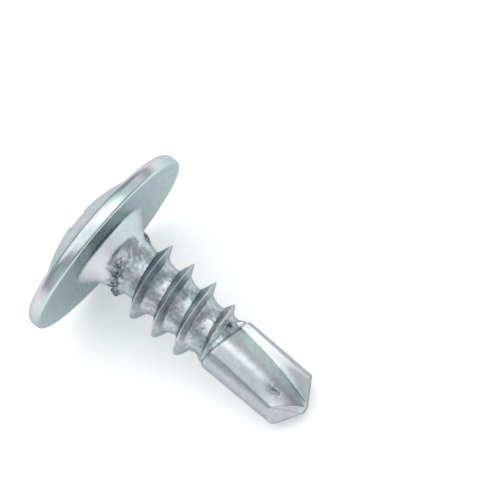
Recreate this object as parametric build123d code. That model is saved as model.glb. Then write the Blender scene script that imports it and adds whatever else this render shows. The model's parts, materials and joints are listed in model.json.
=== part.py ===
"""A self drilling screw: wafer head with a cross recess, spaced thread and forged drill point.

The screw is one piece of steel. It is modelled upright, with its bearing face at height 0,
the head above it and the point below it, and is then laid down as it comes to rest.
Angles round the axis run anticlockwise as seen from above the head.
"""

from build123d import *
from math import asin, atan2, cos, degrees, hypot, radians, sin, sqrt, tan
import os

# Head
head_diameter = 11.0
head_height = 2.12
rim_thickness = 0.8
rim_under_radius = 0.2
rim_top_radius = 0.45
crown_diameter = 7.3
crease_radius = 0.8
washer_slope = 11.0

# Neck, between the head and the thread
neck_flare_diameter = 4.9
neck_flare_length = 0.75
neck_flare_radius = 0.7
neck_diameter = 3.5
neck_taper = 21.0

# Cross recess, as left by a fluted punch
recess_width = 4.6
recess_wing_thickness = 1.06
recess_wing_draft = 1.5
recess_wing_angle = 26.5
recess_core_width = 2.4
recess_core_draft = 5.75
recess_depth = 2.9
recess_tip_angle = 140.0

# Spaced thread
screw_length = 13.0
thread_diameter = 4.2
thread_pitch = 1.455
root_diameter = 2.6
thread_flank_angle = 23.0
foot_height = 0.2
foot_length = 0.55
thread_start = 0.95
thread_full_from = 2.35
thread_full_to = 5.7
thread_end = 7.8
crest_angle_at_start = 101.0

# Drill point
drill_diameter = 3.3
drill_tip_diameter = 3.2
drill_length = 5.35
drill_shoulder_chamfer = 0.2
drill_shoulder_tilt = 8.0
flute_lip_angle = (68.0, 57.0)
flute_heel_angle = (-27.0, -40.0)
flute_valley_angle = (62.0, 47.0)
flute_valley_depth = (0.3, 1.1)
flute_wall_sag = 0.12
flute_valley_radius = 0.25
lip_facet_direction = -96.0
lip_facet_slope = 31.5
heel_facet_direction = -44.0
heel_facet_slope = 45.0
chisel_length = 0.5
point_flat = 0.35

# Finer points of the construction
ridge_bury = 0.2
thread_points_per_turn = 14
flute_stations = 4
flute_clearance = 0.6
flute_overrun = 0.06
first_roll = 180.0
first_roll_step = 16.0
last_roll_step = 0.001
edge_samples = 16

bearing_height = 0.0
tip_height = bearing_height - screw_length
shoulder_height = tip_height + drill_length
root_radius = root_diameter / 2
crest_radius = thread_diameter / 2
drill_radius = drill_diameter / 2
drill_tip_radius = drill_tip_diameter / 2
neck_radius = neck_diameter / 2
rim_radius = head_diameter / 2
rim_top = bearing_height + rim_thickness
crown_edge = crown_diameter / 2
crease_height = rim_top + (rim_radius - crown_edge) * tan(radians(washer_slope))
crown_rise = bearing_height + head_height - crease_height
crown_radius = (crown_rise**2 + crown_edge**2) / (2 * crown_rise)


def polar(radius, angle, height=0.0):
    """A point at a radius and an angle in degrees round the screw's axis."""
    return Vector(radius * cos(radians(angle)), radius * sin(radians(angle)), height)


def crown_height(radius):
    """The height of the crown's sphere over the bearing face, at a radius."""
    drop = crown_radius - sqrt(crown_radius**2 - radius**2)
    return bearing_height + head_height - drop


def turned(profile):
    """A profile of radii and heights, drawn flat, turned round the screw's axis."""
    return revolve(Plane.XZ * profile, Axis.Z)


def head():
    """The turned head and neck: a crown standing on a washer, with a flare and a cone below."""
    flare_end = bearing_height - neck_flare_length
    sunk = root_radius - ridge_bury / 2
    cone_end = flare_end - (neck_radius - sunk) / tan(radians(neck_taper))

    crown = ThreePointArc(
        (0, crown_height(0)),
        (crown_edge / 2, crown_height(crown_edge / 2)),
        (crown_edge, crease_height),
    )
    rest = Polyline(
        (crown_edge, crease_height),
        (rim_radius, rim_top),
        (rim_radius, bearing_height),
        (neck_flare_diameter / 2, bearing_height),
        (neck_radius, flare_end),
        (sunk, cone_end),
        (0, cone_end),
        (0, crown_height(0)),
    )
    profile = make_face([crown, *rest.edges()])
    roundings = (
        (crown_edge, crease_height, crease_radius),
        (rim_radius, rim_top, rim_top_radius),
        (rim_radius, bearing_height, rim_under_radius),
        (neck_radius, flare_end, neck_flare_radius),
    )
    for radius, height, rounding in roundings:
        corner = profile.vertices().sort_by_distance((radius, height))[0]
        profile = fillet(corner, rounding)
    return turned(profile)


def recess():
    """The punch that forms the cross recess: two crossed wings round a core, with a conical end."""
    mouth = crown_height(recess_width / 2)
    top = bearing_height + head_height + recess_wing_thickness
    bottom = bearing_height + head_height - recess_depth
    taper = tan(radians(recess_wing_angle))
    wing_draft = tan(radians(recess_wing_draft))
    core_draft = tan(radians(recess_core_draft))

    def wing_section(height):
        length = recess_width + 2 * taper * (height - mouth)
        thickness = recess_wing_thickness + 2 * wing_draft * (height - mouth)
        return Plane.XY.offset(height) * Rectangle(length, thickness)

    def core_section(height):
        width = recess_core_width + 2 * core_draft * (height - mouth)
        return Plane.XY.offset(height) * Rectangle(width, width, rotation=45)

    wing = loft([wing_section(bottom), wing_section(top)], ruled=True)
    core = loft([core_section(bottom), core_section(top)], ruled=True)
    reach = recess_width
    rise = reach / tan(radians(recess_tip_angle / 2))
    end = ((0, bottom), (reach, bottom + rise), (reach, top + rise), (0, top + rise))
    return (wing + Rot(0, 0, 90) * wing + core) & turned(make_face(Polyline(*end, close=True)))


def thread_height(depth):
    """How far the thread has grown at a depth below the head, from 0 at its ends to 1."""
    grown = (depth - thread_start) / (thread_full_from - thread_start)
    left = (thread_end - depth) / (thread_end - thread_full_to)
    return max(0.0, min(1.0, grown, 1 - (1 - min(left, 1.0)) ** 2))


def thread():
    """The ridge of the right-hand thread, between helices that sink into the root at both ends."""
    base = root_radius - ridge_bury
    sunk = root_radius - ridge_bury / 2
    slope = tan(radians(thread_flank_angle))
    foot_radius = root_radius + foot_height
    foot_rise = -(crest_radius - foot_radius) * slope
    skirt_rise = foot_rise - foot_length
    corners = (
        ((crest_radius - base) * slope, base, base),
        (0, crest_radius, sunk),
        (foot_rise, foot_radius, sunk),
        (skirt_rise, root_radius - ridge_bury / 4, sunk),
        (skirt_rise, base, base),
    )
    length = thread_end - thread_start
    steps = round(length / thread_pitch * thread_points_per_turn)

    def helix(rise, full_radius, end_radius):
        points = []
        for i in range(steps + 1):
            depth = thread_start + length * i / steps
            angle = crest_angle_at_start - 360 * length / thread_pitch * i / steps
            radius = end_radius + (full_radius - end_radius) * thread_height(depth)
            points.append(polar(radius, angle, bearing_height - depth + rise))
        return Spline(*points)

    edges = [helix(*corner) for corner in corners]
    sides = [Face.make_surface_from_curves(a, b) for a, b in zip(edges, edges[1:] + edges[:1])]
    ends = [Face(Wire.make_polygon([edge @ t for edge in edges], close=True)) for t in (0, 1)]
    return Solid(Shell(sides + ends))


def flute():
    """One flute's cutter: a flat cutting face and a softly arched wall, deepening to the point."""

    def between(pair, share):
        return pair[0] + (pair[1] - pair[0]) * share

    def section(share):
        height = shoulder_height - drill_length * share
        lip = between(flute_lip_angle, share)
        heel = between(flute_heel_angle, share)
        outside = drill_radius + flute_clearance
        bottom = polar(
            drill_radius - between(flute_valley_depth, share),
            between(flute_valley_angle, share),
        )
        lip_edge = polar(drill_radius, lip)
        heel_edge = polar(drill_radius, heel)
        far = polar(outside / cos(radians(lip - heel) / 4) ** 2, (lip + heel) / 2)
        wall = SagittaArc(bottom, heel_edge, flute_wall_sag)
        rest = Polyline(heel_edge, polar(outside, heel), far, polar(outside, lip), lip_edge, bottom)
        face = make_face([wall, *rest.edges()])
        valley = face.vertices().sort_by_distance(bottom)[0]
        return Plane.XY.offset(height) * fillet(valley, flute_valley_radius)

    step = (1 + 2 * flute_overrun) / (flute_stations - 1)
    return loft([section(i * step - flute_overrun) for i in range(flute_stations)], ruled=True)


def facet(direction, slope, offset=0.0):
    """What lies outside one flat of the point, which falls away in a direction round the axis."""
    incline = tan(radians(slope))
    apex = tip_height - point_flat / 2 * tan(radians(lip_facet_slope))
    outward = polar(incline, direction, -1)
    reach = 2 * drill_diameter
    return Plane(origin=(0, 0, apex - incline * offset), z_dir=outward) * Box(
        reach, reach, reach, align=(Align.CENTER, Align.CENTER, Align.MIN)
    )


def shank():
    """The root with the thread's ridge on it, carried on into the drill point's body."""
    length = thread_end + thread_pitch - bearing_height
    root = Pos(0, 0, bearing_height) * Cylinder(
        root_radius, length, align=(Align.CENTER, Align.CENTER, Align.MAX)
    )
    return root + thread()


def drill_body():
    """The drill point before it is fluted: slightly tapered, with a chamfered, tilted shoulder."""
    outline = (
        (0, shoulder_height + drill_diameter),
        (drill_radius, shoulder_height + drill_diameter),
        (drill_radius, shoulder_height),
        (drill_tip_radius, tip_height),
        (0, tip_height),
    )
    body = turned(make_face(Polyline(*outline, close=True)))
    above = Pos(0, 0, shoulder_height) * Rot(-drill_shoulder_tilt, 0, 0) * Box(
        *[4 * drill_diameter] * 3, align=(Align.CENTER, Align.CENTER, Align.MIN)
    )
    body -= above
    return chamfer(body.edges().sort_by(Axis.Z)[-1], drill_shoulder_chamfer)


def screw():
    """The whole screw, upright: the joined blank, with its point and its recess cut."""
    made = shank() + head() + drill_body()
    chisel_direction = lip_facet_direction + 90
    heel_offset = chisel_length / 2 * cos(radians(chisel_direction - heel_facet_direction))
    for turn in (0, 180):
        made -= Rot(0, 0, turn) * flute()
        made -= facet(lip_facet_direction + turn, lip_facet_slope)
        made -= facet(heel_facet_direction + turn, heel_facet_slope, heel_offset)
    return made - recess()


def touching_tilt(corner, roll):
    """The tilt in degrees at which a corner comes down to the floor that the rim stands on."""
    below = corner.X * cos(radians(roll)) + corner.Y * sin(radians(roll))
    ahead = bearing_height + rim_under_radius - corner.Z
    above = rim_radius - rim_under_radius - below
    return degrees(atan2(above, ahead) + asin(rim_under_radius / hypot(above, ahead)))


def laid_down(made):
    """The screw as it comes to rest on its rim and its point, with a flute to the floor."""
    edges = [edge for edge in made.edges() if edge.center().Z < shoulder_height]
    corners = [edge @ (i / edge_samples) for edge in edges for i in range(edge_samples + 1)]

    def tilt(roll):
        return min(touching_tilt(corner, roll) for corner in corners)

    roll = first_roll
    step = first_roll_step
    while step > last_roll_step:
        roll = max((roll - step, roll, roll + step), key=tilt)
        step /= 2
    laid = Rot(0, tilt(roll) - 90, 0) * Rot(0, 0, 180 - roll) * made
    box = laid.bounding_box()
    return Pos(-box.center().X, -box.center().Y, -box.min.Z) * laid


if __name__ == "__main__":
    os.makedirs("parts", exist_ok=True)
    made = laid_down(screw())
    made.label = "self_drilling_screw"
    export_step(made, "parts/self_drilling_screw.step")
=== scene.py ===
"""A self drilling screw of bright zinc plated steel, lying on a pale floor in soft studio light.

Everything is in metres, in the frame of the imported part. Points on the screw are first worked out
in its own directions: near, the side that the camera looks at; side, across that; and depth, from
the head's bearing face towards the point. Angles turn from near to side.
"""

import json
from math import ceil, cos, hypot, pi, radians, sin, sqrt, tan

import bmesh
import bpy
import numpy as np
from bpy.props import FloatProperty, FloatVectorProperty, IntProperty, PointerProperty
from mathutils import Matrix, Vector, noise
from mathutils.bvhtree import BVHTree


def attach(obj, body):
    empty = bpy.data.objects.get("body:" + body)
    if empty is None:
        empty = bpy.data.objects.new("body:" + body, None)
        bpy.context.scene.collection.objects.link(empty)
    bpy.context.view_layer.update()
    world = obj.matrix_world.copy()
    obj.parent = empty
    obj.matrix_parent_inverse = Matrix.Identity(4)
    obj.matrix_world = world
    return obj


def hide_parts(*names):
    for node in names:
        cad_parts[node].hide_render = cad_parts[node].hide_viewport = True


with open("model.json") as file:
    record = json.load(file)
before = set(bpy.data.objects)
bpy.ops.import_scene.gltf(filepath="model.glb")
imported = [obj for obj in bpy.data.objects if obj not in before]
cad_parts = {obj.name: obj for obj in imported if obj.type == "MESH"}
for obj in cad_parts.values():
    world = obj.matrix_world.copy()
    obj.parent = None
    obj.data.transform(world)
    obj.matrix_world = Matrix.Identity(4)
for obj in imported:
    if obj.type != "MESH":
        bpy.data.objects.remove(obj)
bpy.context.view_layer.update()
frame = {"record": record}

bl_info = {
    "name": "Self drilling screw",
    "version": (1, 0, 0),
    "blender": (4, 5, 0),
    "location": "3D View > Sidebar > Screw",
    "description": "Builds a zinc plated self drilling screw in full detail, with a small studio",
    "category": "Add Mesh",
}

MM = 0.001


def length(name, description, millimetres):
    """A length setting, given in millimetres and kept in metres."""
    return FloatProperty(
        name=name, description=description, default=millimetres * MM, unit="LENGTH", precision=6
    )


def angle(name, description, size):
    """An angle setting, given in degrees and kept in radians."""
    return FloatProperty(name=name, description=description, default=radians(size), unit="ROTATION")


def share(name, description, size):
    """A plain number between 0 and 1."""
    return FloatProperty(
        name=name, description=description, default=size, min=0.0, max=1.0, subtype="FACTOR"
    )


def colour(name, description, value):
    """A colour setting."""
    return FloatVectorProperty(
        name=name, description=description, default=value, size=3, min=0.0, max=1.0, subtype="COLOR"
    )


class HeadSizes(bpy.types.PropertyGroup):
    """The wafer head and its neck."""

    radius: length("Radius", "Radius of the flange", 5.5)
    height: length("Height", "Height of the crown over the bearing face", 2.12)
    rim: length("Rim thickness", "Thickness of the flange at its edge", 0.8)
    rim_top: length("Rim top rounding", "Rounding of the flange's upper edge", 0.45)
    rim_under: length("Rim under rounding", "Rounding of the flange's lower edge", 0.16)
    crown: length("Crown radius", "Radius of the raised crown, seen from above", 3.65)
    crease: length("Crease rounding", "Rounding between the crown and the flange", 0.8)
    washer_slope: angle("Washer slope", "Slope of the flange's upper face", 11.0)
    flare: length("Flare radius", "Radius of the neck where it leaves the flange", 2.45)
    flare_root: length("Flare root rounding", "Rounding between the flange and the flare", 0.35)
    flare_length: length("Flare length", "Depth at which the flare has become the neck", 0.75)
    flare_curve: length("Flare curve", "Rounding between the flare and the neck's cone", 0.7)
    neck: length("Neck radius", "Radius of the neck under its flare", 1.75)
    neck_taper: angle("Neck taper", "Angle between the neck's cone and the axis", 21.0)


class RecessSizes(bpy.types.PropertyGroup):
    """The cross recess, as left by its punch."""

    width: length("Width", "Width across two wings at the mouth", 4.6)
    wing: length("Wing thickness", "Thickness of a wing at the mouth", 1.06)
    wing_draft: angle("Wing draft", "Draft of a wing's sides", 1.5)
    wing_angle: angle("Wing angle", "Angle between a wing's end and the axis", 26.5)
    core: length("Core width", "Width of the square core at the mouth", 2.4)
    core_draft: angle("Core draft", "Draft of the core's sides", 5.75)
    deep: length("Depth", "Depth of the recess under the crown", 2.9)
    tip: angle("Tip angle", "Angle of the conical bottom", 140.0)


class ThreadSizes(bpy.types.PropertyGroup):
    """The spaced thread, rolled on to a round root."""

    crest: length("Crest radius", "Radius at the thread's crest", 2.1)
    root: length("Root radius", "Radius between the turns", 1.3)
    pitch: length("Pitch", "Distance between turns", 1.455)
    flank: angle("Flank angle", "Angle of each flank from the crest's plane", 23.0)
    foot: length("Foot height", "Height over the root at which the tip side flank ends", 0.2)
    skirt: length("Skirt", "Length of the swelling after the tip side flank", 0.55)
    start: length("Start", "Depth at which the thread begins", 0.95)
    full_from: length("Full from", "Depth from which the thread has its full height", 2.35)
    full_to: length("Full to", "Depth at which the thread begins to fade", 5.7)
    end: length("End", "Depth at which the thread has faded", 7.8)
    first_circle: length("First circle", "Depth of the first plain circle, on the helix", 0.995)
    crest_round: length("Crest rounding", "Softness of the thread's crest", 0.02)
    blend: length("Root rounding", "Softness of the joins between flanks and root", 0.09)
    columns: IntProperty(name="Columns", description="Mesh columns round the axis", default=192)
    rows: IntProperty(name="Rows a turn", description="Mesh rows in each turn", default=34)


class DrillSizes(bpy.types.PropertyGroup):
    """The forged drill point, with two flutes and four ground flats."""

    depth: length("Shoulder depth", "Depth of the drill's shoulder", 7.65)
    tip: length("Tip depth", "Depth of the very tip", 13.0)
    radius: length("Radius", "Radius at the shoulder", 1.65)
    tip_radius: length("Tip radius", "Radius at the tip", 1.6)
    shoulder_round: length("Shoulder rounding", "Rounding of the shoulder's edge", 0.2)
    shoulder_tilt: angle("Shoulder tilt", "Tilt of the shoulder", 8.0)
    lip: angle("Lip angle", "Angle of a flute's cutting edge at the shoulder", 68.0)
    lip_turn: angle("Lip turn", "How far it turns back over the point", 11.0)
    heel: angle("Heel angle", "Angle of a flute's heel at the shoulder", -27.0)
    heel_turn: angle("Heel turn", "How far it turns back over the point", 13.0)
    valley: angle("Valley angle", "Angle of a flute's bottom at the shoulder", 62.0)
    valley_turn: angle("Valley turn", "How far it turns back over the point", 15.0)
    valley_depth: length("Valley depth", "Depth of a flute at the shoulder", 0.3)
    valley_gain: length("Valley gain", "How much deeper a flute is at the point", 0.8)
    valley_rush: FloatProperty(
        name="Valley rush", description="How late a flute deepens, 1 for evenly", default=2.4
    )
    wall_sag: length("Wall arch", "How far a flute's wall arches out at the shoulder", 0.32)
    wall_flat: share("Wall flattening", "Share of the arch that is lost at the point", 0.62)
    wall_ridge: share("Wall ridge", "Where the arch is highest, from heel to valley", 0.45)
    wall_ridge_gain: share("Wall ridge gain", "How much it nears the valley at the point", 0.32)
    ridge_soft: share("Ridge softness", "How softly the wall turns over its ridge", 0.7)
    valley_round: share("Valley rounding", "Share of the wall that the rounded bottom takes", 0.04)
    collar: length("Collar", "How far the root swells to meet the flutes", 0.22)
    collar_length: length("Collar length", "Length of that swelling", 0.5)
    edge_round: length("Edge rounding", "Softness of the ground edges", 0.03)
    lip_facet: angle("Lip flat direction", "Direction in which a lip flat falls away", -96.0)
    lip_slope: angle("Lip flat slope", "Slope of a lip flat", 31.5)
    heel_facet: angle("Heel flat direction", "Direction in which a heel flat falls away", -44.0)
    heel_slope: angle("Heel flat slope", "Slope of a heel flat", 45.0)
    chisel: length("Chisel length", "Length of the edge between the lips", 0.5)
    point_flat: length("Point flat", "Width of the blunt tip", 0.35)
    rows: IntProperty(name="Rows", description="Mesh rows along the drill", default=84)


class ZincFinish(bpy.types.PropertyGroup):
    """The bright zinc plating, with some tints that paint shade and highlight."""

    base: colour("Base", "Colour of the plating", (0.61, 0.625, 0.645))
    lilac: colour("Lilac", "Tint of the thicker patches", (0.60, 0.57, 0.62))
    teal: colour("Teal", "Tint of the passivated patches", (0.46, 0.55, 0.56))
    edge: colour("Edge tint", "Tint of the plating seen at a glance", (0.55, 0.60, 0.62))
    # Painted shade: the darker colour painted into corners and hollows, also used for the line
    # along each heel and round torn steel.
    crevice_shade: colour("Crevice", "Colour in corners and hollows", (0.20, 0.30, 0.32))
    torn: colour("Torn", "Colour of torn and crumpled steel", (0.07, 0.085, 0.09))
    # The pale cutting faces are partly the trimmed steel's own lighter tone and partly a painted
    # reflection; the same colour paints a highlight along the thread's crests.
    pale: colour("Pale", "Colour of the trimmed cutting faces", (0.70, 0.74, 0.745))
    forged: colour("Forged", "Tint of the forged flutes and flats", (0.47, 0.46, 0.495))
    # Painted shade: a teal tint on the flange's underside and in the flutes' grooves, standing in
    # for the darker reflections there.
    under: colour("Under", "Tint of the flange's underside", (0.52, 0.62, 0.625))
    gloss: share("Roughness", "Roughness of the smooth head", 0.23)
    worked: share("Worked roughness", "Roughness of the rolled thread and forged point", 0.34)
    ripple: length("Ripple", "Height of the soft waves left by forging", 0.006)
    grain: length("Grain", "Height of the crystalline grain between the turns", 0.02)
    tear: length("Tear", "Height of the crumpled steel where the thread begins", 0.13)


class StudioSettings(bpy.types.PropertyGroup):
    """The floor, lamps and camera."""

    floor: colour("Floor", "Colour of the floor", (0.93, 0.93, 0.93))
    floor_glow: share("Floor glow", "How much the floor glows for the camera", 0.3)
    floor_size: length("Floor size", "Width of the floor", 1200)
    world: colour("Surroundings", "Grey that surrounds the screw", (0.36, 0.395, 0.405))
    distance: length("Camera distance", "From what the camera looks at", 320)
    scale: FloatProperty(
        name="Picture scale", description="Pixels of the picture per millimetre", default=19.8
    )
    view_tilt: angle("View tilt", "How far the camera looks along the screw", 8.5)
    view_roll: angle("View roll", "How far the screw's axis falls to the right", 40.0)


# How finely the head, thread, drill point and recess are meshed.
crown_steps = 20
outline_spacing = 0.15 * MM
outline_arc = radians(8)
thread_bands = 6
shoulder_rings = 5
shoulder_inner = 0.45
edge_steps = (0.33, 0.67)
point_rings = 30
recess_rings = 24
recess_side_steps = 5
recess_floor_steps = (0.75, 0.5, 0.25)
halvings = 40
shoulder_rounds = 12

# How much closer a turn's rows lie at the crest and on the flanks, and for what share of a turn.
share_steps = 400
crest_rows = (9, 0.02)
flank_rows = (2.2, 0.16)

# How surfaces meet, and from which angle on an edge is sharp.
ridge_sunk = 0.1 * MM
flank_base = 0.2 * MM
skirt_sunk = 0.05 * MM
collar_gap = 0.05 * MM
collar_lead = 1.1
collar_dive = 0.5
collar_dive_length = 1 * MM
collar_softness = 0.05 * MM
flat_softness = 0.03 * MM
wall_fullness = 0.35
face_bend = 0.45
punch_over = 0.6 * MM
sharp_edge = radians(34)

# The uneven skin: size in metres, octaves and seed of each kind of noise.
noise_seed = Vector((3.1, 7.7, 5.3))
noise_fade = 0.9
noise_step = 2.1
head_waves = (2.4 * MM, 2, 0.0)
shank_grain = (0.2 * MM, 3, 11.0)
torn_folds = (0.16 * MM, 3, 47.0)
drill_waves = (0.9 * MM, 2, 23.0)
drill_ripples = (0.2 * MM, 2, 31.0)

# How waves and grain are shared out. A start is a place and the length of the rise from there.
# Shares are what the crest has and the root has more, or on the drill those of waves and ripples.
head_sink = 0.6
crown_waves = 0.2
grain_start = (0.6 * MM, 0.4 * MM)
grain_shares = (0.35, 0.65)
fold_lift = 0.15
drill_shares = (0.8, 0.2)
drill_sink = 0.5

# Where the steel counts as worked for the finish, and where paint stands in for light: a painted
# highlight on the crests, pale cutting faces that are partly painted reflection, painted teal shade
# on the flange's underside and in the grooves, and a painted shade line along each heel.
worked_start = (0.7 * MM, 1.2 * MM)
worked_shares = (0.45, 0.55)
worked_on_drill = 0.42
shank_limit = 2.3 * MM
drill_blend = 0.3 * MM
# Width and strength of the painted highlight along the thread's crests.
crest_highlight_band = 0.08 * MM
crest_shine = 0.6
# Where the painted teal shade on the flange's underside begins, and how far it reaches.
underside_shade_start = (2 * MM, 0.7 * MM)
underside_shade_reach = 0.15 * MM
# Width of the painted shade line along each heel.
heel_shade_width = 0.05 * MM
# Where the pale cutting faces begin; their paleness is partly a painted reflection.
face_start = (0.01 * MM, 0.03 * MM)
face_slack = 0.02 * MM
# Where the painted teal shade lies in the flutes' grooves.
groove_slack = 0.01 * MM
groove_blend = 0.3 * MM
groove_start = 2.4
marks_from = 0.1

# How far and along how many rays a point looks for steel close around it; the more it finds, the
# more shade is painted there.
crevice_reach = 1.1 * MM
crevice_rays = 14
crevice_spread = 0.92
crevice_lift = 0.01 * MM

# Sizes of the plating's patterns in mm, and from which to which value each of them shows.
patch_size = 2.2
mottle_size = 0.25
speckle_size = 0.13
fold_size = 0.24
sheen_size = 0.7
crystal_size = 0.2
lilac_range = (0.5, 0.66)
teal_range = (0.5, 0.36)
mottle_range = (0.44, 0.60)
fold_range = (0.045, 0.008)
stain_range = (0.34, 0.52)
speck_range = (0.56, 0.64)
torn_range = (0.15, 0.6)
torn_edge_range = (0.1, 0.8)

# How strongly each tint covers the plating, and how high its grain stands. The underside, crevice
# and heel tints are painted shade.
forged_cover = 0.7
underside_shade_cover = 0.8
mottle_cover = 0.7
mottle_shade = 0.6
crevice_shade_cover = 1.8
heel_shade_cover = 0.55
stain_cover = 1.9
torn_cover = 0.45
sheen_gain = 0.08
torn_dullness = 0.2
grain_gain = 1.1
grain_least = 0.008
bump_strength = 0.6
bump_height = 0.006 * MM

matt_roughness = 0.9
matt_shine = 0.1

# Torn and crumpled places: depth in mm, angle in degrees, radius and size in mm, strength.
torn_places = (
    (1.28, -16, 1.60, 0.30, 0.8),
    (1.40, -35, 1.66, 0.34, 1.0),
    (1.52, -58, 1.70, 0.36, 1.1),
    (1.62, -80, 1.85, 0.40, 2.0),
    (1.80, -98, 1.90, 0.36, 2.0),
    (1.26, 80, 1.56, 0.30, 1.5),
    (6.95, 32, 1.35, 0.20, 0.9),
    (2.75, -66, 1.55, 0.20, 0.9),
    (4.20, -60, 1.45, 0.20, 0.7),
    (5.70, -58, 1.42, 0.18, 0.6),
)

# Dark stains: depth in mm, angle in degrees, then radius, width and length in mm.
stain_places = (
    (11.45, -6, 1.42, 0.28, 0.62),
    (7.42, 40, 1.42, 0.22, 0.16),
    (7.95, 55, 1.38, 0.10, 0.25),
)

# Lamps and cards: name, turn round the screw and tilt towards its point in degrees, width in
# metres, and for a lamp how bright its face is.
lamp_distance = 0.5
soft_boxes = (
    ("highlight", 31, -5, 0.26, 1.75),
    ("overhead", 3, -43, 0.78, 1.1),
    ("fill", -60, 6, 0.32, 0.4),
    ("front", 6, 20, 0.36, 0.62),
    ("side", 68, -12, 0.36, 0.55),
)
dark_cards = (("card_tip", 0, 55, 0.26),)
card_colour = (0.08, 0.13, 0.14)
screw_middle = Vector((0, 0, 5 * MM))

# The picture's width in pixels, the pixel at which the middle of the bearing face is seen, and
# the nearest and farthest that the camera sees.
picture_size = 500
head_place = (109.6, 246.3)
clip_range = (0.01, 10.0)


def mount(name):
    """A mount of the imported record."""
    return next(m for m in frame["record"]["mounts"] if m["name"] == name)


def screw_frame():
    """The matrix from near, side and depth to the row frame, from the record's mounts."""
    thread = mount("thread")
    down = Vector(thread["axis"]).normalized()
    on_axis = Vector(thread["pos_m"])
    face_point = Vector(mount("bearing_face")["pos_m"])
    centre = on_axis + down * (face_point - on_axis).dot(down)
    near = (face_point - centre).normalized()
    side = near.cross(down)
    placed = Matrix((near, side, down)).transposed().to_4x4()
    placed.translation = centre
    return placed


def smooth_max(a, b, softness):
    """The larger of two values, with a soft join."""
    near = np.maximum(softness - np.abs(a - b), 0.0) / softness
    return np.maximum(a, b) + near * near * softness / 4


def smooth_min(a, b, softness):
    """The smaller of two values, with a soft join."""
    return -smooth_max(-a, -b, softness)


def polar(radius, turn):
    """Points at radii and angles, as near and side."""
    return np.stack([radius * np.cos(turn), radius * np.sin(turn)], -1)


def norms(vectors):
    """The lengths of vectors, as a column."""
    return np.linalg.norm(vectors, axis=-1, keepdims=True)


def drawn_in(flat, amount):
    """Places across the axis, moved an amount towards it."""
    return flat * (1 - amount / norms(flat))


def at_depth(flat, depth):
    """Points from their near and side, and their depths."""
    return np.concatenate([flat, depth[..., None]], -1)


def ramp(value, start, span):
    """How far a value has risen past a start, from 0 to 1 over a span."""
    return np.clip((value - start) / span, 0, 1)


def fractal(points, size, octaves, seed):
    """Soft noise between about -1 and 1 with features of one size, for an array of points."""
    offset = noise_seed + Vector((seed, 0, 0))
    return np.array([
        noise.fractal(Vector(p) + offset, noise_fade, noise_step, octaves) for p in points / size
    ])


def add_object(name, data):
    """A new object in the scene."""
    made = bpy.data.objects.new(name, data)
    bpy.context.scene.collection.objects.link(made)
    return made


def mesh_object(name, points, faces):
    """A new object from points in near, side and depth, placed in the row frame."""
    placed = np.array(screw_frame())
    points = points @ placed[:3, :3].T + placed[:3, 3]
    mesh = bpy.data.meshes.new(name)
    mesh.from_pydata(points.tolist(), [], faces)
    shape = bmesh.new()
    shape.from_mesh(mesh)
    bmesh.ops.recalc_face_normals(shape, faces=shape.faces)
    shape.to_mesh(mesh)
    shape.free()
    return add_object(name, mesh)


def triples(items, name):
    """Three numbers of each point of a mesh."""
    found = np.empty(len(items) * 3)
    items.foreach_get(name, found)
    return found.reshape(-1, 3)


def on_screw(made):
    """An object's points in near, side and depth, with their depths and radii."""
    placed = np.array(screw_frame())
    points = (triples(made.data.vertices, "co") - placed[:3, 3]) @ placed[:3, :3]
    return points, points[:, 2], np.hypot(points[:, 0], points[:, 1])


def swell(made, heights):
    """Moves an object's points along their normals."""
    mesh = made.data
    normals = triples(mesh.vertex_normals, "vector")
    points = triples(mesh.vertices, "co") + normals * heights[:, None]
    mesh.vertices.foreach_set("co", points.ravel())
    mesh.update()


def combine(made, tool, operation):
    """Joins a tool to an object, or cuts it away, and deletes the tool."""
    step = made.modifiers.new("combine", "BOOLEAN")
    step.operation = operation
    step.solver = "MANIFOLD"
    step.object = tool
    bpy.context.view_layer.objects.active = made
    bpy.ops.object.modifier_apply(modifier=step.name)
    bpy.data.objects.remove(tool)


def outline(corners):
    """Depths and radii along a turned outline, from its corners and their roundings."""
    points = [Vector(corners[0][:2])]
    for before, corner, after in zip(corners, corners[1:], corners[2:]):
        here = Vector(corner[:2])
        back = (Vector(before[:2]) - here).normalized()
        on = (Vector(after[:2]) - here).normalized()
        turn = pi - back.angle(on)
        if corner[2] == 0:
            points.append(here)
            continue
        reach = corner[2] * tan(turn / 2)
        middle = here + (back + on).normalized() * hypot(reach, corner[2])
        start = here + back * reach - middle
        end = here + on * reach - middle
        steps = max(2, ceil(turn / outline_arc))
        for i in range(steps + 1):
            between = start.lerp(end, i / steps)
            points.append(middle + between.normalized() * corner[2])
    points.append(Vector(corners[-1][:2]))
    rows = [points[0]]
    for a, b in zip(points, points[1:]):
        steps = max(1, ceil((b - a).length / outline_spacing))
        rows += [a.lerp(b, (i + 1) / steps) for i in range(steps)]
    return np.array(rows)


def crease_depth(head):
    """The depth at which the crown meets the flange's upper face."""
    return -head.rim - (head.radius - head.crown) * tan(head.washer_slope)


def crown_depth(radius, head):
    """The depth of the crown's sphere at a radius."""
    rise = head.height + crease_depth(head)
    sphere = (rise**2 + head.crown**2) / (2 * rise)
    return sphere - sqrt(sphere**2 - radius**2) - head.height


def head_outline(head, thread):
    """The head's and neck's outline, from the middle of the crown to the first plain circle."""
    neck_end = head.neck - (thread.first_circle - head.flare_length) * tan(head.neck_taper)
    radii = [head.crown * i / crown_steps for i in range(crown_steps)]
    corners = [(crown_depth(radius, head), radius, 0) for radius in radii]
    corners += [
        (crease_depth(head), head.crown, head.crease),
        (-head.rim, head.radius, head.rim_top),
        (0, head.radius, head.rim_under),
        (0, head.flare, head.flare_root),
        (head.flare_length, head.neck, head.flare_curve),
        (thread.first_circle, neck_end, 0),
    ]
    return outline(corners)


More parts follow.
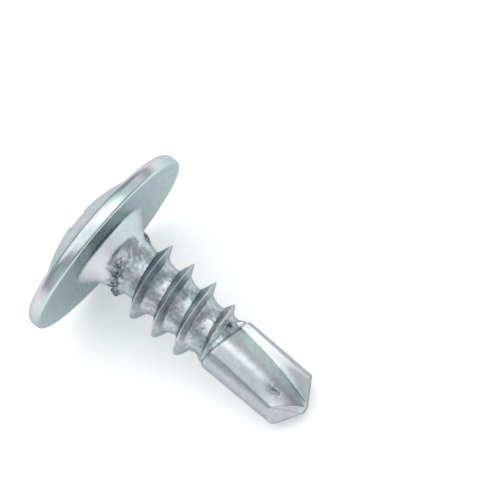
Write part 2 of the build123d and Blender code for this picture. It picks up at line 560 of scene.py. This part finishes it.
def thread_growth(depth, thread):
    """How far the thread has grown at a depth, from 0 at its ends to 1."""
    grown = (depth - thread.start) / (thread.full_from - thread.start)
    left = np.minimum((thread.end - depth) / (thread.end - thread.full_to), 1.0)
    return np.clip(np.minimum(grown, 1 - (1 - left) ** 2), 0.0, 1.0)


def ridge_radius(offset, growth, thread):
    """The radius of one turn's ridge, at an offset from its crest towards the point."""
    soft = thread.crest_round
    sunk = thread.root - ridge_sunk
    steep = 1 / tan(thread.flank)
    crest = sunk + (thread.crest - sunk) * growth
    base = thread.root - flank_base
    base_offset = (thread.crest - base) / steep
    flank = crest - (np.sqrt(offset**2 + soft**2) - soft) * (crest - base) / base_offset
    foot_offset = (thread.crest - thread.root - thread.foot) / steep
    foot = sunk + (thread.root + thread.foot - sunk) * growth
    slope = (foot - thread.root + skirt_sunk) / thread.skirt
    skirt = foot - (offset - foot_offset) * slope
    skirt = np.where(offset > 0, skirt, base)
    return smooth_max(flank, np.minimum(skirt, crest), thread.blend / 2)


def shank_radius(depth, start, head, thread):
    """The shank's radius where the helix's first crest lies at start: neck, root and ridges."""
    neck = head.neck - (depth - head.flare_length) * tan(head.neck_taper)
    radius = smooth_max(np.full_like(depth, thread.root), neck, 2 * thread.blend)
    turn = np.floor((depth - start) / thread.pitch + 1e-9)
    for place in (turn, turn + 1):
        crest = start + place * thread.pitch
        ridge = ridge_radius(depth - crest, thread_growth(crest, thread), thread)
        ridge = np.where(place < 0, 0.0, ridge)
        radius = smooth_max(radius, ridge, thread.blend)
    return radius


def collar_rise(depth, turns, thread, drill):
    """How far the root swells or sinks to meet the flutes at the drill's tilted shoulder."""
    section = DrillSection(drill)
    flat = section.points(np.full(len(section.kinds), drill.depth))
    reach = np.interp(
        turns, np.arctan2(flat[:, 1], flat[:, 0]), np.hypot(flat[:, 0], flat[:, 1]), period=2 * pi
    )
    edge = drill.depth + tan(drill.shoulder_tilt) * reach * np.sin(turns)
    top = np.minimum(reach - collar_gap, thread.root + drill.collar) - thread.root
    rise = np.clip((depth - edge) / drill.collar_length + collar_lead, 0, 1)
    sunk = np.clip(depth - edge, 0, collar_dive_length) * collar_dive
    return top * rise**2 * (3 - 2 * rise) - sunk


def turn_shares(rows):
    """Shares of a turn at which rows lie, closer together at the crest and on its flanks."""
    steps = np.linspace(0, 1, share_steps)
    from_crest = np.minimum(steps, 1 - steps)
    density = 1
    for closer, reach in (crest_rows, flank_rows):
        density = density + closer * np.exp(-from_crest / reach)
    total = np.concatenate([[0], np.cumsum((density[1:] + density[:-1]) / 2)])
    return np.interp(np.linspace(0, total[-1], rows + 1), total, steps)


def blank(head, thread, drill):
    """The turned head with the threaded shank, as one closed grid whose rows follow the helix."""
    columns = thread.columns
    rows = thread.rows
    last = rows * thread_bands
    shares = turn_shares(rows)
    profile = head_outline(head, thread)
    turns = pi / 2 - 2 * pi * np.arange(columns) / columns
    fall = np.arange(columns) / columns
    begin = thread.first_circle
    finish = begin + thread.pitch * (thread_bands - 1)
    points = [[(0, 0, profile[0][0])]]
    for depth, radius in profile[1:]:
        points.append(at_depth(polar(radius, turns), np.full(columns, depth)))
    count = 1 + columns * (len(profile) - 1)
    k = np.arange(1, last + 1)
    band = (k - 1) // rows
    inner = shares[k - band * rows]
    crest = begin + thread.pitch * fall[:, None]
    low = np.where(band == 0, begin, crest + thread.pitch * (band - 1))
    high = np.where(band == thread_bands - 1, finish, crest + thread.pitch * band)
    depth = low + (high - low) * inner
    radius = shank_radius(depth, np.broadcast_to(crest, depth.shape), head, thread)
    rise = collar_rise(depth, turns[:, None], thread, drill)
    swollen = smooth_max(radius, thread.root + np.maximum(rise, 0), collar_softness)
    radius = np.where(rise > 0, swollen, radius) + np.minimum(rise, 0)
    shank = at_depth(polar(radius, turns[:, None]), depth).reshape(-1, 3)
    points = np.concatenate([*points, shank, [(0, 0, finish)]])
    end = len(points) - 1
    first_ring = count - columns

    def place(column, row):
        if column == columns:
            column, row = 0, min(row + rows, last)
        if row == 0 or (column == 0 and row <= rows):
            return first_ring + column
        return count + column * last + row - 1

    faces = [(0, 1 + i, 1 + (i + 1) % columns) for i in range(columns)]
    for j in range(len(profile) - 2):
        faces += [ring_face(1 + j * columns, i, columns) for i in range(columns)]
    for i in range(columns):
        for row in range(last):
            corners = (place(i, row), place(i + 1, row), place(i + 1, row + 1), place(i, row + 1))
            kept = tuple(dict.fromkeys(corners))
            if len(kept) > 2:
                faces.append(kept)
        faces.append((place(i, last), place(i + 1, last), end))
    used = sorted({i for face in faces for i in face})
    number = {old: new for new, old in enumerate(used)}
    faces = [tuple(number[i] for i in face) for face in faces]
    return mesh_object("self_drilling_screw_zinc", points[used], faces)


def ring_face(first, column, columns):
    """The face between two rings of points, at one column, where the first ring starts at first."""
    after = (column + 1) % columns
    return first + column, first + after, first + columns + after, first + columns + column


def closed_core(name, rings, start, end):
    """A closed grid from rings of points and its two end points."""
    rows, columns = rings.shape[:2]
    points = np.concatenate([rings.reshape(-1, 3), [start, end]])
    faces = []
    for i in range(columns):
        n = (i + 1) % columns
        faces.append((rows * columns, i, n))
        faces.append((rows * columns + 1, (rows - 1) * columns + i, (rows - 1) * columns + n))
        faces += [ring_face(j * columns, i, columns) for j in range(rows - 1)]
    return mesh_object(name, points, faces)


def bend(a, corner, b, t):
    """A soft corner between two points."""
    return (1 - t) ** 2 * a + 2 * t * (1 - t) * corner + t**2 * b


def drill_edges(along, drill):
    """The drill's radius and the angles of lip, heel and valley, at a share of its length."""
    return (
        drill.radius + (drill.tip_radius - drill.radius) * along,
        drill.lip - drill.lip_turn * along,
        drill.heel - drill.heel_turn * along,
        drill.valley - drill.valley_turn * along,
    )


class DrillSection:
    """The drill's section at any depth, as points in columns that follow its edges."""

    counts = (("wall", 34), ("valley", 9), ("face", 9), ("lip", 3), ("land", 28), ("heel", 3))

    def __init__(self, drill):
        self.drill = drill
        kinds = []
        shares = []
        for kind, count in self.counts:
            kinds += [kind] * count
            shares += [i / count for i in range(count)]
        self.kinds = np.array(kinds * 2)
        self.shares = np.array(shares * 2)[:, None]
        self.sign = np.repeat([1.0, -1.0], len(kinds))[:, None]

    def points(self, depth):
        """Near and side for each column, with one depth for each column."""
        d = self.drill
        along = ((depth - d.depth) / (d.tip - d.depth))[..., None]
        radius, lip, heel, valley = drill_edges(along, d)
        bottom = radius - d.valley_depth - d.valley_gain * np.clip(along, 0, 2) ** d.valley_rush

        def at(r, turn):
            return np.concatenate([r * np.cos(turn), r * np.sin(turn)], -1)

        p_valley = at(bottom, valley)
        p_lip = at(radius, lip)
        p_heel = at(radius, heel)
        chord = p_valley - p_heel
        out = np.stack([chord[..., 1], -chord[..., 0]], -1)
        out /= norms(out)

        late = np.clip(along, 0, 1) ** 2
        peak = d.wall_ridge + d.wall_ridge_gain * late
        sag = d.wall_sag * (1 - d.wall_flat * late)

        def wall(t):
            rise = t / peak * (1 + wall_fullness * (1 - t / peak))
            arch = smooth_min(rise, (1 - t) / (1 - peak), d.ridge_soft)
            return p_heel + chord * t + out * sag * np.maximum(arch, 0)

        def face(t):
            return p_valley + (p_lip - p_valley) * t

        land_span = heel + pi - lip

        def land(t):
            return at(radius, lip + land_span * t)

        t = self.shares
        soft = d.valley_round
        wall_edge = d.edge_round / norms(chord)
        face_edge = d.edge_round / norms(p_lip - p_valley)
        land_edge = d.edge_round / d.radius / land_span
        shapes = {
            "wall": wall(wall_edge + (1 - soft - wall_edge) * t),
            "valley": bend(wall(1 - soft), p_valley, face(face_bend), t),
            "face": face(face_bend + (1 - face_edge - face_bend) * t),
            "lip": bend(face(1 - face_edge), p_lip, land(land_edge), t),
            "land": land(land_edge + (1 - 2 * land_edge) * t),
            "heel": bend(land(1 - land_edge), -p_heel, -wall(wall_edge), t),
        }
        chosen = [self.kinds[:, None] == kind for kind in shapes]
        return np.select(chosen, list(shapes.values())) * self.sign


def point_depth(flat, drill):
    """The depth of the ground point under a place in the section."""
    lift = drill.point_flat / 2 * tan(drill.lip_slope)
    depth = np.full(flat.shape[:-1], drill.tip)
    chisel_turn = drill.lip_facet + pi / 2
    offset = drill.chisel / 2 * cos(chisel_turn - drill.heel_facet)
    for turn in (0, pi):
        for direction, slope, away in (
            (drill.lip_facet, drill.lip_slope, 0.0),
            (drill.heel_facet, drill.heel_slope, offset),
        ):
            outward = np.array([cos(direction + turn), sin(direction + turn)])
            plane = drill.tip + lift - tan(slope) * (flat @ outward - away)
            depth = smooth_min(depth, plane, flat_softness)
    return depth


def shoulder_depth(flat, drill):
    """The depth of the tilted shoulder at a place in the section."""
    return drill.depth + tan(drill.shoulder_tilt) * flat[..., 1]


def reach_down(columns, low, high, is_inside):
    """The depths between low and high down to which is_inside holds, found by halving."""
    low, high = np.full(columns, low), np.full(columns, high)
    for _ in range(halvings):
        middle = (low + high) / 2
        inside = is_inside(middle)
        low = np.where(inside, middle, low)
        high = np.where(inside, high, middle)
    return low


def drill_core(drill):
    """The drill point as a closed grid, with columns along the flutes and rows to the flats."""
    section = DrillSection(drill)
    columns = len(section.kinds)
    top = np.full(columns, drill.depth)
    for _ in range(shoulder_rounds):
        top = shoulder_depth(section.points(top), drill)
    end = reach_down(
        columns, drill.depth, drill.tip + 1 * MM,
        lambda depth: depth < point_depth(section.points(depth), drill),
    )
    rings = []
    rounding = drill.shoulder_round
    rim = section.points(top)
    for t in np.linspace(shoulder_inner, 1, shoulder_rings + 1)[:-1]:
        flat = drawn_in(rim, rounding) * t
        rings.append(at_depth(flat, shoulder_depth(flat, drill)))
    for t in np.linspace(0, pi / 2, shoulder_rings + 1)[:-1]:
        depth = top + rounding * (1 - cos(t))
        flat = drawn_in(section.points(depth), rounding * (1 - sin(t)))
        rings.append(at_depth(flat, depth))
    start = top + rounding
    edge = drill.edge_round
    for t in np.linspace(0, 1, drill.rows):
        depth = start + (end - edge - start) * t
        rings.append(at_depth(section.points(depth), depth))
    before = rings[-1]
    corner = at_depth(section.points(end), end)
    inner = drawn_in(corner[:, :2], edge)
    after = at_depth(inner, point_depth(inner, drill))
    for t in edge_steps:
        rings.append(bend(before, corner, after, t))
    for t in np.linspace(1, 0, point_rings)[:-1]:
        rings.append(at_depth(inner * t, point_depth(inner * t, drill)))
    bottom = point_depth(np.zeros((1, 2)), drill)[0]
    return closed_core("drill", np.array(rings), (0, 0, drill.depth), (0, 0, bottom))


def recess_tool(head, recess):
    """The punch that leaves the cross recess, as a closed grid."""
    mouth = crown_depth(recess.width / 2, head)
    over = -head.height - punch_over
    floor = -head.height + recess.deep
    columns = 16 * recess_side_steps

    def points(depth):
        rise = mouth - depth
        long = recess.width / 2 + rise * tan(recess.wing_angle)
        half = recess.wing / 2 + rise * tan(recess.wing_draft)
        core = (recess.core + 2 * rise * tan(recess.core_draft)) / sqrt(2)
        inner = core - half
        quarter = [(long, -half), (long, half), (inner, half), (half, inner)]
        corners = []
        for turn in range(4):
            for x, y in quarter:
                for _ in range(turn):
                    x, y = -y, x
                corners.append(np.stack([x, y], -1))
        made = []
        for a, b in zip(corners, corners[1:] + corners[:1]):
            made += [a + (b - a) * i / recess_side_steps for i in range(recess_side_steps)]
        return np.array([made[i][i] for i in range(columns)])

    def bottom(flat):
        return floor - np.linalg.norm(flat, axis=-1) / tan(recess.tip / 2)

    low = reach_down(columns, over, floor, lambda depth: depth < bottom(points(depth)))
    rings = []
    for t in np.linspace(0, 1, recess_rings):
        depth = over + (low - over) * t
        rings.append(at_depth(points(depth), depth))
    base = points(low)
    for t in recess_floor_steps:
        rings.append(at_depth(base * t, bottom(base * t)))
    return closed_core("recess", np.array(rings), (0, 0, over), (0, 0, floor))


class SCREW_OT_build(bpy.types.Operator):
    """Build the screw: head, thread, drill point and recess in one mesh, with its zinc finish"""

    bl_idname = "screw.build"
    bl_label = "Build the screw"

    def execute(self, context):
        settings = context.scene.screw
        head = settings.head
        thread = settings.thread
        made = blank(head, thread, settings.drill)
        roughen_blank(made, head, thread, settings.finish)
        drill = drill_core(settings.drill)
        roughen_drill(drill, settings.finish)
        combine(made, drill, "UNION")
        combine(made, recess_tool(head, settings.recess), "DIFFERENCE")
        mark_worked(made, thread, settings.drill)
        made.data.materials.clear()
        made.data.materials.append(zinc(settings.finish))
        made.data.shade_smooth()
        made.data.set_sharp_from_angle(angle=sharp_edge)
        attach(made, "root")
        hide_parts("self_drilling_screw")
        if len(made.data.polygons) == 0:
            raise RuntimeError("the screw has no faces")
        return {"FINISHED"}


def near_torn(points):
    """How near points are to the places where the steel is torn, from 0 to 1."""
    total = np.zeros(len(points))
    for depth, turn, radius, size, strength in torn_places:
        centre = np.array([*polar(radius * MM, radians(turn)), depth * MM])
        distance = np.linalg.norm(points - centre, axis=1)
        total = np.maximum(total, strength * np.exp(-((distance / (size * MM)) ** 2)))
    return total


def towards_root(radius, thread, crest, added):
    """A share that the thread's crest has, and that grows towards its root."""
    return crest + added * ramp(thread.crest, radius, thread.crest - thread.root)


def roughen_blank(made, head, thread, finish):
    """Gives the head soft forging waves, and the rolled shank a worked, crumpled skin."""
    points, depth, radius = on_screw(made)
    waves = fractal(points, *head_waves) - head_sink
    heights = finish.ripple * waves * np.clip(radius / head.radius, crown_waves, 1)
    on_shank = ramp(depth, *grain_start)
    grain = fractal(points, *shank_grain)
    heights += on_shank * finish.grain * grain * towards_root(radius, thread, *grain_shares)
    folds = fractal(points, *torn_folds) + fold_lift
    heights += finish.tear * near_torn(points) * on_shank * folds
    swell(made, heights)


def roughen_drill(made, finish):
    """Gives the forged drill point faint waves."""
    points, _, _ = on_screw(made)
    broad, fine = drill_shares
    waves = broad * fractal(points, *drill_waves) + fine * fractal(points, *drill_ripples)
    swell(made, finish.ripple * (waves - drill_sink))


def mark_worked(made, thread, drill):
    """Keeps on each point what the finish reads there, such as how worked or torn the steel is and
    where shade and highlight are painted.
    """
    points, depth, radius = on_screw(made)
    rolled = towards_root(radius, thread, *worked_shares)
    shank = ramp(depth, *worked_start) * np.where(radius < shank_limit, 1, 0)
    on_drill = ramp(depth, drill.depth, drill_blend)
    worked = shank * ((1 - on_drill) * rolled + on_drill * worked_on_drill)
    pale, heel_shade, groove = drill_marks(points, depth, radius, drill)
    # Painted highlight along the thread's crests.
    crest = shank * (1 - on_drill) * np.clip((radius - thread.crest) / crest_highlight_band + 1, 0, 1)
    # Painted teal shade on the flange's underside.
    under = ramp(radius, *underside_shade_start) * np.clip(depth / underside_shade_reach + 2, 0, 1)
    layers = {
        "worked": worked,
        "torn": near_torn(points),
        # Pale cutting faces, partly painted reflection, and the painted highlight on the crests.
        "pale": np.maximum(pale, crest_shine * crest),
        # Painted shade line along each heel.
        "heel_shade": heel_shade,
        "stain": near_stain(points),
        "forged": on_drill * (1 - pale) * (1 - groove),
        # Painted teal shade on the flange's underside and in the grooves.
        "under": np.maximum(under * (1 - on_drill), groove),
        # Painted shade in corners and hollows.
        "crevice_shade": crevice_shade_amounts(made),
    }
    for name, values in layers.items():
        layer = made.data.attributes.new(name, "FLOAT", "POINT")
        layer.data.foreach_set("value", values.astype(np.float32))


def drill_marks(points, depth, radius, drill):
    """Where the cutting faces are pale, partly painted reflection, where a painted shade line
    follows each heel, and where each flute's wall gets painted teal shade by its groove.
    """
    along = (depth - drill.depth) / (drill.tip - drill.depth)
    turn = np.arctan2(points[:, 1], points[:, 0])
    body, lip, heel, valley = drill_edges(along, drill)

    def from_edge(edge):
        return (np.mod(turn - edge + pi / 2, pi) - pi / 2) * radius

    on_drill = np.clip(depth / MM - drill.depth / MM - marks_from, 0, 1)
    inside = ramp(body - radius, *face_start)
    between = (from_edge(lip) < face_slack) & (from_edge(valley) > -face_slack)
    pale = on_drill * inside * between
    heel_shade = on_drill * np.exp(-((from_edge(heel) / heel_shade_width) ** 2))
    groove = on_drill * np.clip(from_edge(valley) / groove_blend + groove_start, 0, 1)
    groove = groove * (from_edge(valley) < groove_slack) * inside
    return pale, heel_shade, groove


def near_stain(points):
    """How near points are to the dark stains, which are longer along the screw than across it."""
    total = np.zeros(len(points))
    for depth, turn, radius, width, reach in stain_places:
        across = np.linalg.norm(points[:, :2] - polar(radius * MM, radians(turn)), axis=1)
        along = points[:, 2] - depth * MM
        near = np.exp(-((across / (width * MM)) ** 2) - (along / (reach * MM)) ** 2)
        total = np.maximum(total, near)
    return total


def crevice_shade_amounts(made):
    """How much steel stands close around each point, as seen along a fan of rays, which sets how
    much shade is painted there.
    """
    tree = BVHTree.FromObject(made, bpy.context.evaluated_depsgraph_get())
    steps = np.arange(crevice_rays) + 0.5
    height = np.sqrt(1 - steps / crevice_rays * crevice_spread)
    flat = np.sqrt(1 - height**2)
    turn = steps * pi * (3 - sqrt(5))
    fan = np.stack([flat * np.cos(turn), flat * np.sin(turn), height], 1)
    hidden = np.zeros(len(made.data.vertices))
    for i, vertex in enumerate(made.data.vertices):
        normal = vertex.normal
        start = vertex.co + normal * crevice_lift
        turned = np.array(normal.to_track_quat("Z", "X").to_matrix())
        for way in fan @ turned.T:
            found = tree.ray_cast(start, way, crevice_reach)
            if found[0] is not None:
                hidden[i] += 1 - found[3] / crevice_reach
    return hidden / crevice_rays


class FinishNodes:
    """A new material, with short ways to add and join its nodes."""

    def __init__(self, name):
        self.material = bpy.data.materials.new(name)
        self.material.use_nodes = True
        self.tree = self.material.node_tree

    def set(self, name, source):
        self.put(self.tree.nodes["Principled BSDF"].inputs[name], source)

    def node(self, kind, **settings):
        made = self.tree.nodes.new("ShaderNode" + kind)
        for name, value in settings.items():
            if hasattr(made, name):
                setattr(made, name, value)
            else:
                made.inputs[name].default_value = value
        return made

    def put(self, target, source):
        if hasattr(source, "links"):
            self.tree.links.new(source, target)
        else:
            target.default_value = source

    def maths(self, operation, *values, clamp=False):
        made = self.node("Math", operation=operation, use_clamp=clamp)
        for target, source in zip(made.inputs, values):
            self.put(target, source)
        return made.outputs["Value"]

    def between(self, value, low, high, to_low=0.0, to_high=1.0):
        made = self.node("MapRange")
        ends = {"From Min": low, "From Max": high, "To Min": to_low, "To Max": to_high}
        for name, source in {"Value": value, **ends}.items():
            self.put(made.inputs[name], source)
        return made.outputs["Result"]

    def mix(self, amount, a, b):
        made = self.node("Mix", data_type="RGBA")
        self.put(made.inputs[0], amount)
        for target, source in ((made.inputs[6], a), (made.inputs[7], b)):
            self.put(target, source if hasattr(source, "links") else (*source, 1))
        return made.outputs[2]


def zinc(finish):
    """The zinc plating: a light grey metal with faint lilac and teal patches and a fine grain, with
    painted shade in its hollows, on the flange's underside, in the grooves and along the heels, and
    a painted highlight on the crests and partly on the cutting faces.
    """
    nodes = FinishNodes("bright_zinc_plating")
    node, put, mix = nodes.node, nodes.put, nodes.mix
    maths, between = nodes.maths, nodes.between
    nodes.set("Metallic", 1.0)
    nodes.set("Specular Tint", (*finish.edge, 1))
    place = node("TexCoord").outputs["Object"]

    def texture(size, detail, rough=0.6):
        made = node("TexNoise", Scale=1 / (size * MM), Detail=detail, Roughness=rough)
        put(made.inputs["Vector"], place)
        return made.outputs["Fac"]

    def layer(name):
        return node("Attribute", attribute_name=name).outputs["Fac"]

    def cover(tint, paint, amount, strength):
        return mix(maths("MULTIPLY", amount, strength, clamp=True), tint, paint)

    worked = layer("worked")
    torn = layer("torn")
    patches = texture(patch_size, 3)
    speckle = texture(speckle_size, 3, 0.7)
    tint = mix(between(patches, *lilac_range), finish.base, finish.lilac)
    tint = mix(between(patches, *teal_range), tint, finish.teal)
    tint = cover(tint, finish.forged, layer("forged"), forged_cover)
    # Painted teal shade on the flange's underside and in the grooves.
    tint = cover(tint, finish.under, layer("under"), underside_shade_cover)
    mottle = between(texture(mottle_size, 4), *mottle_range, 0.0, mottle_cover)
    tint = cover(tint, tuple(mottle_shade * c for c in finish.teal), mottle, worked)
    # Painted shade in corners and hollows.
    tint = cover(tint, finish.crevice_shade, layer("crevice_shade"), crevice_shade_cover)
    # Pale cutting faces, partly painted reflection, and a painted highlight on the crests.
    tint = mix(layer("pale"), tint, finish.pale)
    # Painted shade line along each heel.
    tint = cover(tint, finish.crevice_shade, layer("heel_shade"), heel_shade_cover)
    stained = between(speckle, *stain_range, 0.0, stain_cover)
    tint = cover(tint, finish.torn, stained, layer("stain"))
    # A darker rim round torn steel, in the same colour as the painted crevice shade.
    tint = cover(tint, finish.crevice_shade, between(torn, *torn_edge_range), torn_cover)
    folds = maths("ABSOLUTE", maths("SUBTRACT", texture(fold_size, 2, 0.5), 0.5))
    marks = maths("MAXIMUM", between(folds, *fold_range), between(speckle, *speck_range))
    tint = cover(tint, finish.torn, marks, between(torn, *torn_range))
    nodes.set("Base Color", tint)
    rough = between(worked, 0.0, 1.0, finish.gloss, finish.worked)
    rough = maths("MULTIPLY_ADD", texture(sheen_size, 3), sheen_gain, rough)
    nodes.set("Roughness", maths("MULTIPLY_ADD", torn, torn_dullness, rough))

    crystal = node("TexVoronoi", Scale=1 / (crystal_size * MM))
    put(crystal.inputs["Vector"], place)
    grain = maths("MULTIPLY", crystal.outputs["Distance"], worked)
    gain = maths("MULTIPLY_ADD", worked, grain_gain, grain_least)
    bump = node("Bump", Strength=bump_strength, Distance=bump_height)
    put(bump.inputs["Height"], maths("MULTIPLY_ADD", speckle, gain, grain))
    nodes.set("Normal", bump.outputs["Normal"])
    return nodes.material


def plain_material(name, paint, glow):
    """A matt material that also glows for the camera and in reflections, and lights nothing."""
    nodes = FinishNodes(name)
    nodes.set("Base Color", (*paint, 1))
    nodes.set("Roughness", matt_roughness)
    nodes.set("Specular IOR Level", matt_shine)
    if glow:
        path = nodes.node("LightPath").outputs
        seen = path["Is Camera Ray"]
        for other in ("Is Glossy Ray", "Is Transmission Ray"):
            seen = nodes.maths("MAXIMUM", seen, path[other])
        nodes.set("Emission Color", (1, 1, 1, 1))
        nodes.set("Emission Strength", nodes.maths("MULTIPLY", seen, glow))
    return nodes.material


def square(name, size, paint, glow):
    """A flat square of the stage, level and at the origin."""
    mesh = bpy.data.meshes.new(name)
    half = size / 2
    corners = [(-half, -half, 0), (half, -half, 0), (half, half, 0), (-half, half, 0)]
    mesh.from_pydata(corners, [], [(0, 1, 2, 3)])
    mesh.materials.append(plain_material(name, paint, glow))
    made = add_object(name, mesh)
    return made


def face_screw(made, turn, tilt):
    """Puts a lamp or card in its place round the screw, with its face to the screw."""
    near, side, down = screw_frame().to_3x3().transposed()
    level = near * cos(radians(turn)) + side * sin(radians(turn))
    way = level * cos(radians(tilt)) + down * sin(radians(tilt))
    made.location = screw_middle + way * lamp_distance
    made.rotation_euler = (screw_middle - made.location).to_track_quat("-Z", "Y").to_euler()


def light_studio(studio):
    """Soft boxes round the screw, a dark card at its tip, and a plain grey surrounding."""
    for name, turn, tilt, size, glow in soft_boxes:
        lamp = bpy.data.lights.new(name, "AREA")
        lamp.shape = "SQUARE"
        lamp.size = size
        lamp.energy = glow * pi * size**2
        face_screw(add_object(name, lamp), turn, tilt)
    for name, turn, tilt, size in dark_cards:
        face_screw(square(name, size, card_colour, 0.0), turn, tilt)
    world = bpy.data.worlds.new("surroundings")
    bpy.context.scene.world = world
    world.use_nodes = True
    back = world.node_tree.nodes["Background"]
    back.inputs["Color"].default_value = (*studio.world, 1)


def make_camera(studio):
    """A long lens that sees the screw where the photograph has it."""
    placed = screw_frame()
    near, side, down = placed.to_3x3().transposed()
    towards = (down * sin(studio.view_tilt) + near * cos(studio.view_tilt)).normalized()
    along = (down - towards * down.dot(towards)).normalized()
    right = along * cos(studio.view_roll) + side * sin(studio.view_roll)
    up = side * cos(studio.view_roll) - along * sin(studio.view_roll)
    per_pixel = MM / studio.scale
    offset_x = (picture_size / 2 - head_place[0]) * per_pixel
    offset_y = (head_place[1] - picture_size / 2) * per_pixel
    target = placed.translation + right * offset_x + up * offset_y
    camera = bpy.data.cameras.new("camera")
    camera.lens = camera.sensor_width * studio.distance / (picture_size * per_pixel)
    camera.clip_start, camera.clip_end = clip_range
    turned = Matrix((right, up, towards)).transposed().to_4x4()
    turned.translation = target + towards * studio.distance
    made = add_object("camera", camera)
    made.matrix_world = turned
    bpy.context.scene.camera = made


class SCREW_OT_stage(bpy.types.Operator):
    """Set the stage: pale floor, soft lamps, dark card, grey surroundings and the camera"""

    bl_idname = "screw.stage"
    bl_label = "Set the stage"

    def execute(self, context):
        studio = context.scene.screw.studio
        square("floor", studio.floor_size, studio.floor, studio.floor_glow)
        light_studio(studio)
        context.scene.view_settings.view_transform = "Standard"
        make_camera(studio)
        return {"FINISHED"}


class ScrewSettings(bpy.types.PropertyGroup):
    """All settings of the screw and its studio."""

    head: PointerProperty(type=HeadSizes)
    recess: PointerProperty(type=RecessSizes)
    thread: PointerProperty(type=ThreadSizes)
    drill: PointerProperty(type=DrillSizes)
    finish: PointerProperty(type=ZincFinish)
    studio: PointerProperty(type=StudioSettings)


class SCREW_PT_panel(bpy.types.Panel):
    """The screw's settings and steps, in the 3D view's sidebar"""

    bl_label = "Self drilling screw"
    bl_idname = "SCREW_PT_panel"
    bl_space_type = "VIEW_3D"
    bl_region_type = "UI"
    bl_category = "Screw"

    def draw(self, context):
        layout = self.layout
        for operator in (SCREW_OT_build, SCREW_OT_stage):
            layout.operator(operator.bl_idname)
        for group in ("head", "recess", "thread", "drill", "finish", "studio"):
            box = layout.box()
            settings = getattr(context.scene.screw, group)
            box.label(text=group.capitalize())
            for name in settings.bl_rna.properties.keys():
                if name not in ("rna_type", "name"):
                    box.prop(settings, name)


classes = (
    HeadSizes, RecessSizes, ThreadSizes, DrillSizes, ZincFinish, StudioSettings, ScrewSettings,
    SCREW_OT_build, SCREW_OT_stage, SCREW_PT_panel,
)


def register():
    """Adds the settings, operators and panel."""
    for item in classes:
        bpy.utils.register_class(item)
    bpy.types.Scene.screw = PointerProperty(type=ScrewSettings)


def unregister():
    """Takes the settings, operators and panel away."""
    del bpy.types.Scene.screw
    for item in reversed(classes):
        bpy.utils.unregister_class(item)


def main():
    """Builds the screw and its stage."""
    register()
    bpy.ops.screw.build()
    bpy.ops.screw.stage()


if __name__ == "__main__":
    main()
